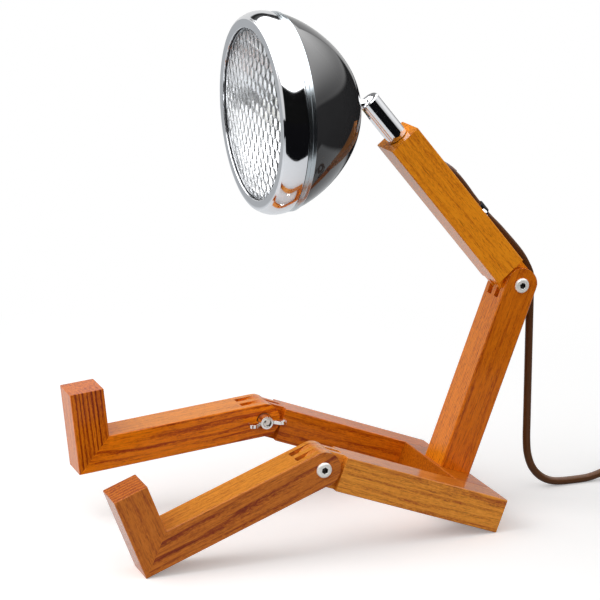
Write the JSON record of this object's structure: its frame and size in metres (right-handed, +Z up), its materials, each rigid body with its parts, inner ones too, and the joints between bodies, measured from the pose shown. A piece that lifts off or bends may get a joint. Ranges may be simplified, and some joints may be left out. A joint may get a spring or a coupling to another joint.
{
  "type": "desk lamp",
  "caption": "Seated-figure desk lamp: laminated wooden bars with bolted finger joints, chrome neck, tilting headlamp, corded with in-line switch and plug.",
  "frame": {"origin": "on the table, midway between the toe tips and the elbow along X and midway between the legs along Y", "axes": "+Z up; the lamp faces -X, with its legs along -X and its cord at the back, +X; -Y is the side of the leg whose heel rests on the table"},
  "size_m": [0.5006, 0.189, 0.354],
  "materials": {
    "oiled_wood": "satin oil finish",
    "dowel_wood": "plain beech",
    "chrome": "bright plated",
    "zinc_steel": "zinc plated",
    "brass": "turned",
    "black_enamel": "gloss enamel",
    "lens_glass": "pressed prismatic glass",
    "reflector": "mirror bright",
    "gasket_rubber": "matte",
    "ceramic": "white",
    "bulb_glass": "frosted",
    "black_plastic": "fine satin",
    "rocker_plastic": "gloss",
    "cord_sheath": "brown textile braid",
    "wire_sheath": "plain"
  },
  "bodies": {
    "root": {"rail_near": "oiled_wood", "rail_far": "oiled_wood", "hip_block": "oiled_wood", "wood_dowels": "dowel_wood", "torso": "oiled_wood", "torso_screw": "zinc_steel", "torso_insert": "brass", "elbow_bolt": "chrome", "elbow_washer": "chrome", "cord_bend": "cord_sheath", "cord_drop": "cord_sheath", "cord_lead": "cord_sheath", "cord_coil": "cord_sheath", "cord_tail": "cord_sheath", "coil_tie": "black_plastic", "switch_base": "black_plastic", "switch_cover": "black_plastic", "switch_screws": "zinc_steel", "plug_body": "black_plastic", "plug_pins": "chrome", "plug_relief": "black_plastic"},
    "leg_near": {"shin_near": "oiled_wood", "toe_near": "oiled_wood", "knee_bolt_near": "chrome", "knee_washer_near": "chrome"},
    "leg_far": {"shin_far": "oiled_wood", "toe_far": "oiled_wood", "knee_bolt_far": "chrome", "knee_washer_far": "chrome"},
    "nut_near": {"knee_nut_near": "chrome"},
    "nut_far": {"knee_nut_far": "chrome"},
    "nut_elbow": {"elbow_nut": "chrome"},
    "arm": {"upper_arm": "oiled_wood", "neck_bush": "brass", "arm_lead": "wire_sheath", "cord_sleeve": "cord_sheath", "cord_clip": "zinc_steel", "clip_screw": "chrome", "cord_arm": "cord_sheath"},
    "neck": {"neck_tube": "chrome", "neck_ring": "zinc_steel", "neck_spring": "zinc_steel", "ball_cup": "brass", "neck_lead": "wire_sheath"},
    "head": {"ball_stud": "chrome", "stud_washer": "zinc_steel", "stud_nut": "zinc_steel", "bowl": "black_enamel", "bowl_trim": "chrome", "rim": "chrome", "lens": "lens_glass", "lens_gasket": "gasket_rubber", "lens_clips": "zinc_steel", "reflector": "reflector", "holder_bracket": "zinc_steel", "lampholder": "ceramic", "bulb": "bulb_glass", "head_leads": "wire_sheath"},
    "rocker": {"switch_rocker": "rocker_plastic"}
  },
  "joints": [
    {"name": "knee_near", "type": "hinge", "parent": "root", "child": "leg_near", "pos_m": [-0.01908, -0.05875, 0.05992], "axis": [0, 1, 0], "range_deg": [-48.5, 131.5]},
    {"name": "knee_far", "type": "hinge", "parent": "root", "child": "leg_far", "pos_m": [-0.01908, 0.05875, 0.05992], "axis": [0, 1, 0], "range_deg": [-64, 116]},
    {"name": "elbow", "type": "hinge", "parent": "root", "child": "arm", "pos_m": [0.15053, 0, 0.15664], "axis": [0, 1, 0], "range_deg": [-30, 75], "deforming": ["cord_bend"]},
    {"name": "neck_swivel", "type": "hinge", "parent": "arm", "child": "neck", "pos_m": [0.06136, 0, 0.26483], "axis": [-0.6361, 0, 0.7716], "range_deg": [-170, 170]},
    {"name": "head_tilt", "type": "hinge", "parent": "neck", "child": "head", "pos_m": [0.04176, 0, 0.28859], "axis": [0, 1, 0], "range_deg": [-38, 52]},
    {"name": "nut_near_turn", "type": "hinge", "parent": "leg_near", "child": "nut_near", "pos_m": [-0.01908, -0.045, 0.05992], "axis": [0, 1, 0], "range_deg": [0, 180]},
    {"name": "nut_far_turn", "type": "hinge", "parent": "leg_far", "child": "nut_far", "pos_m": [-0.01908, 0.045, 0.05992], "axis": [0, -1, 0], "range_deg": [0, 180]},
    {"name": "nut_elbow_turn", "type": "hinge", "parent": "root", "child": "nut_elbow", "pos_m": [0.15053, 0.01375, 0.15664], "axis": [0, 1, 0], "range_deg": [0, 180]},
    {"name": "rocker_press", "type": "hinge", "parent": "root", "child": "rocker", "pos_m": [0.268, 0.004, 0.0148], "axis": [0, 1, 0], "range_deg": [0, 14]}
  ]
}
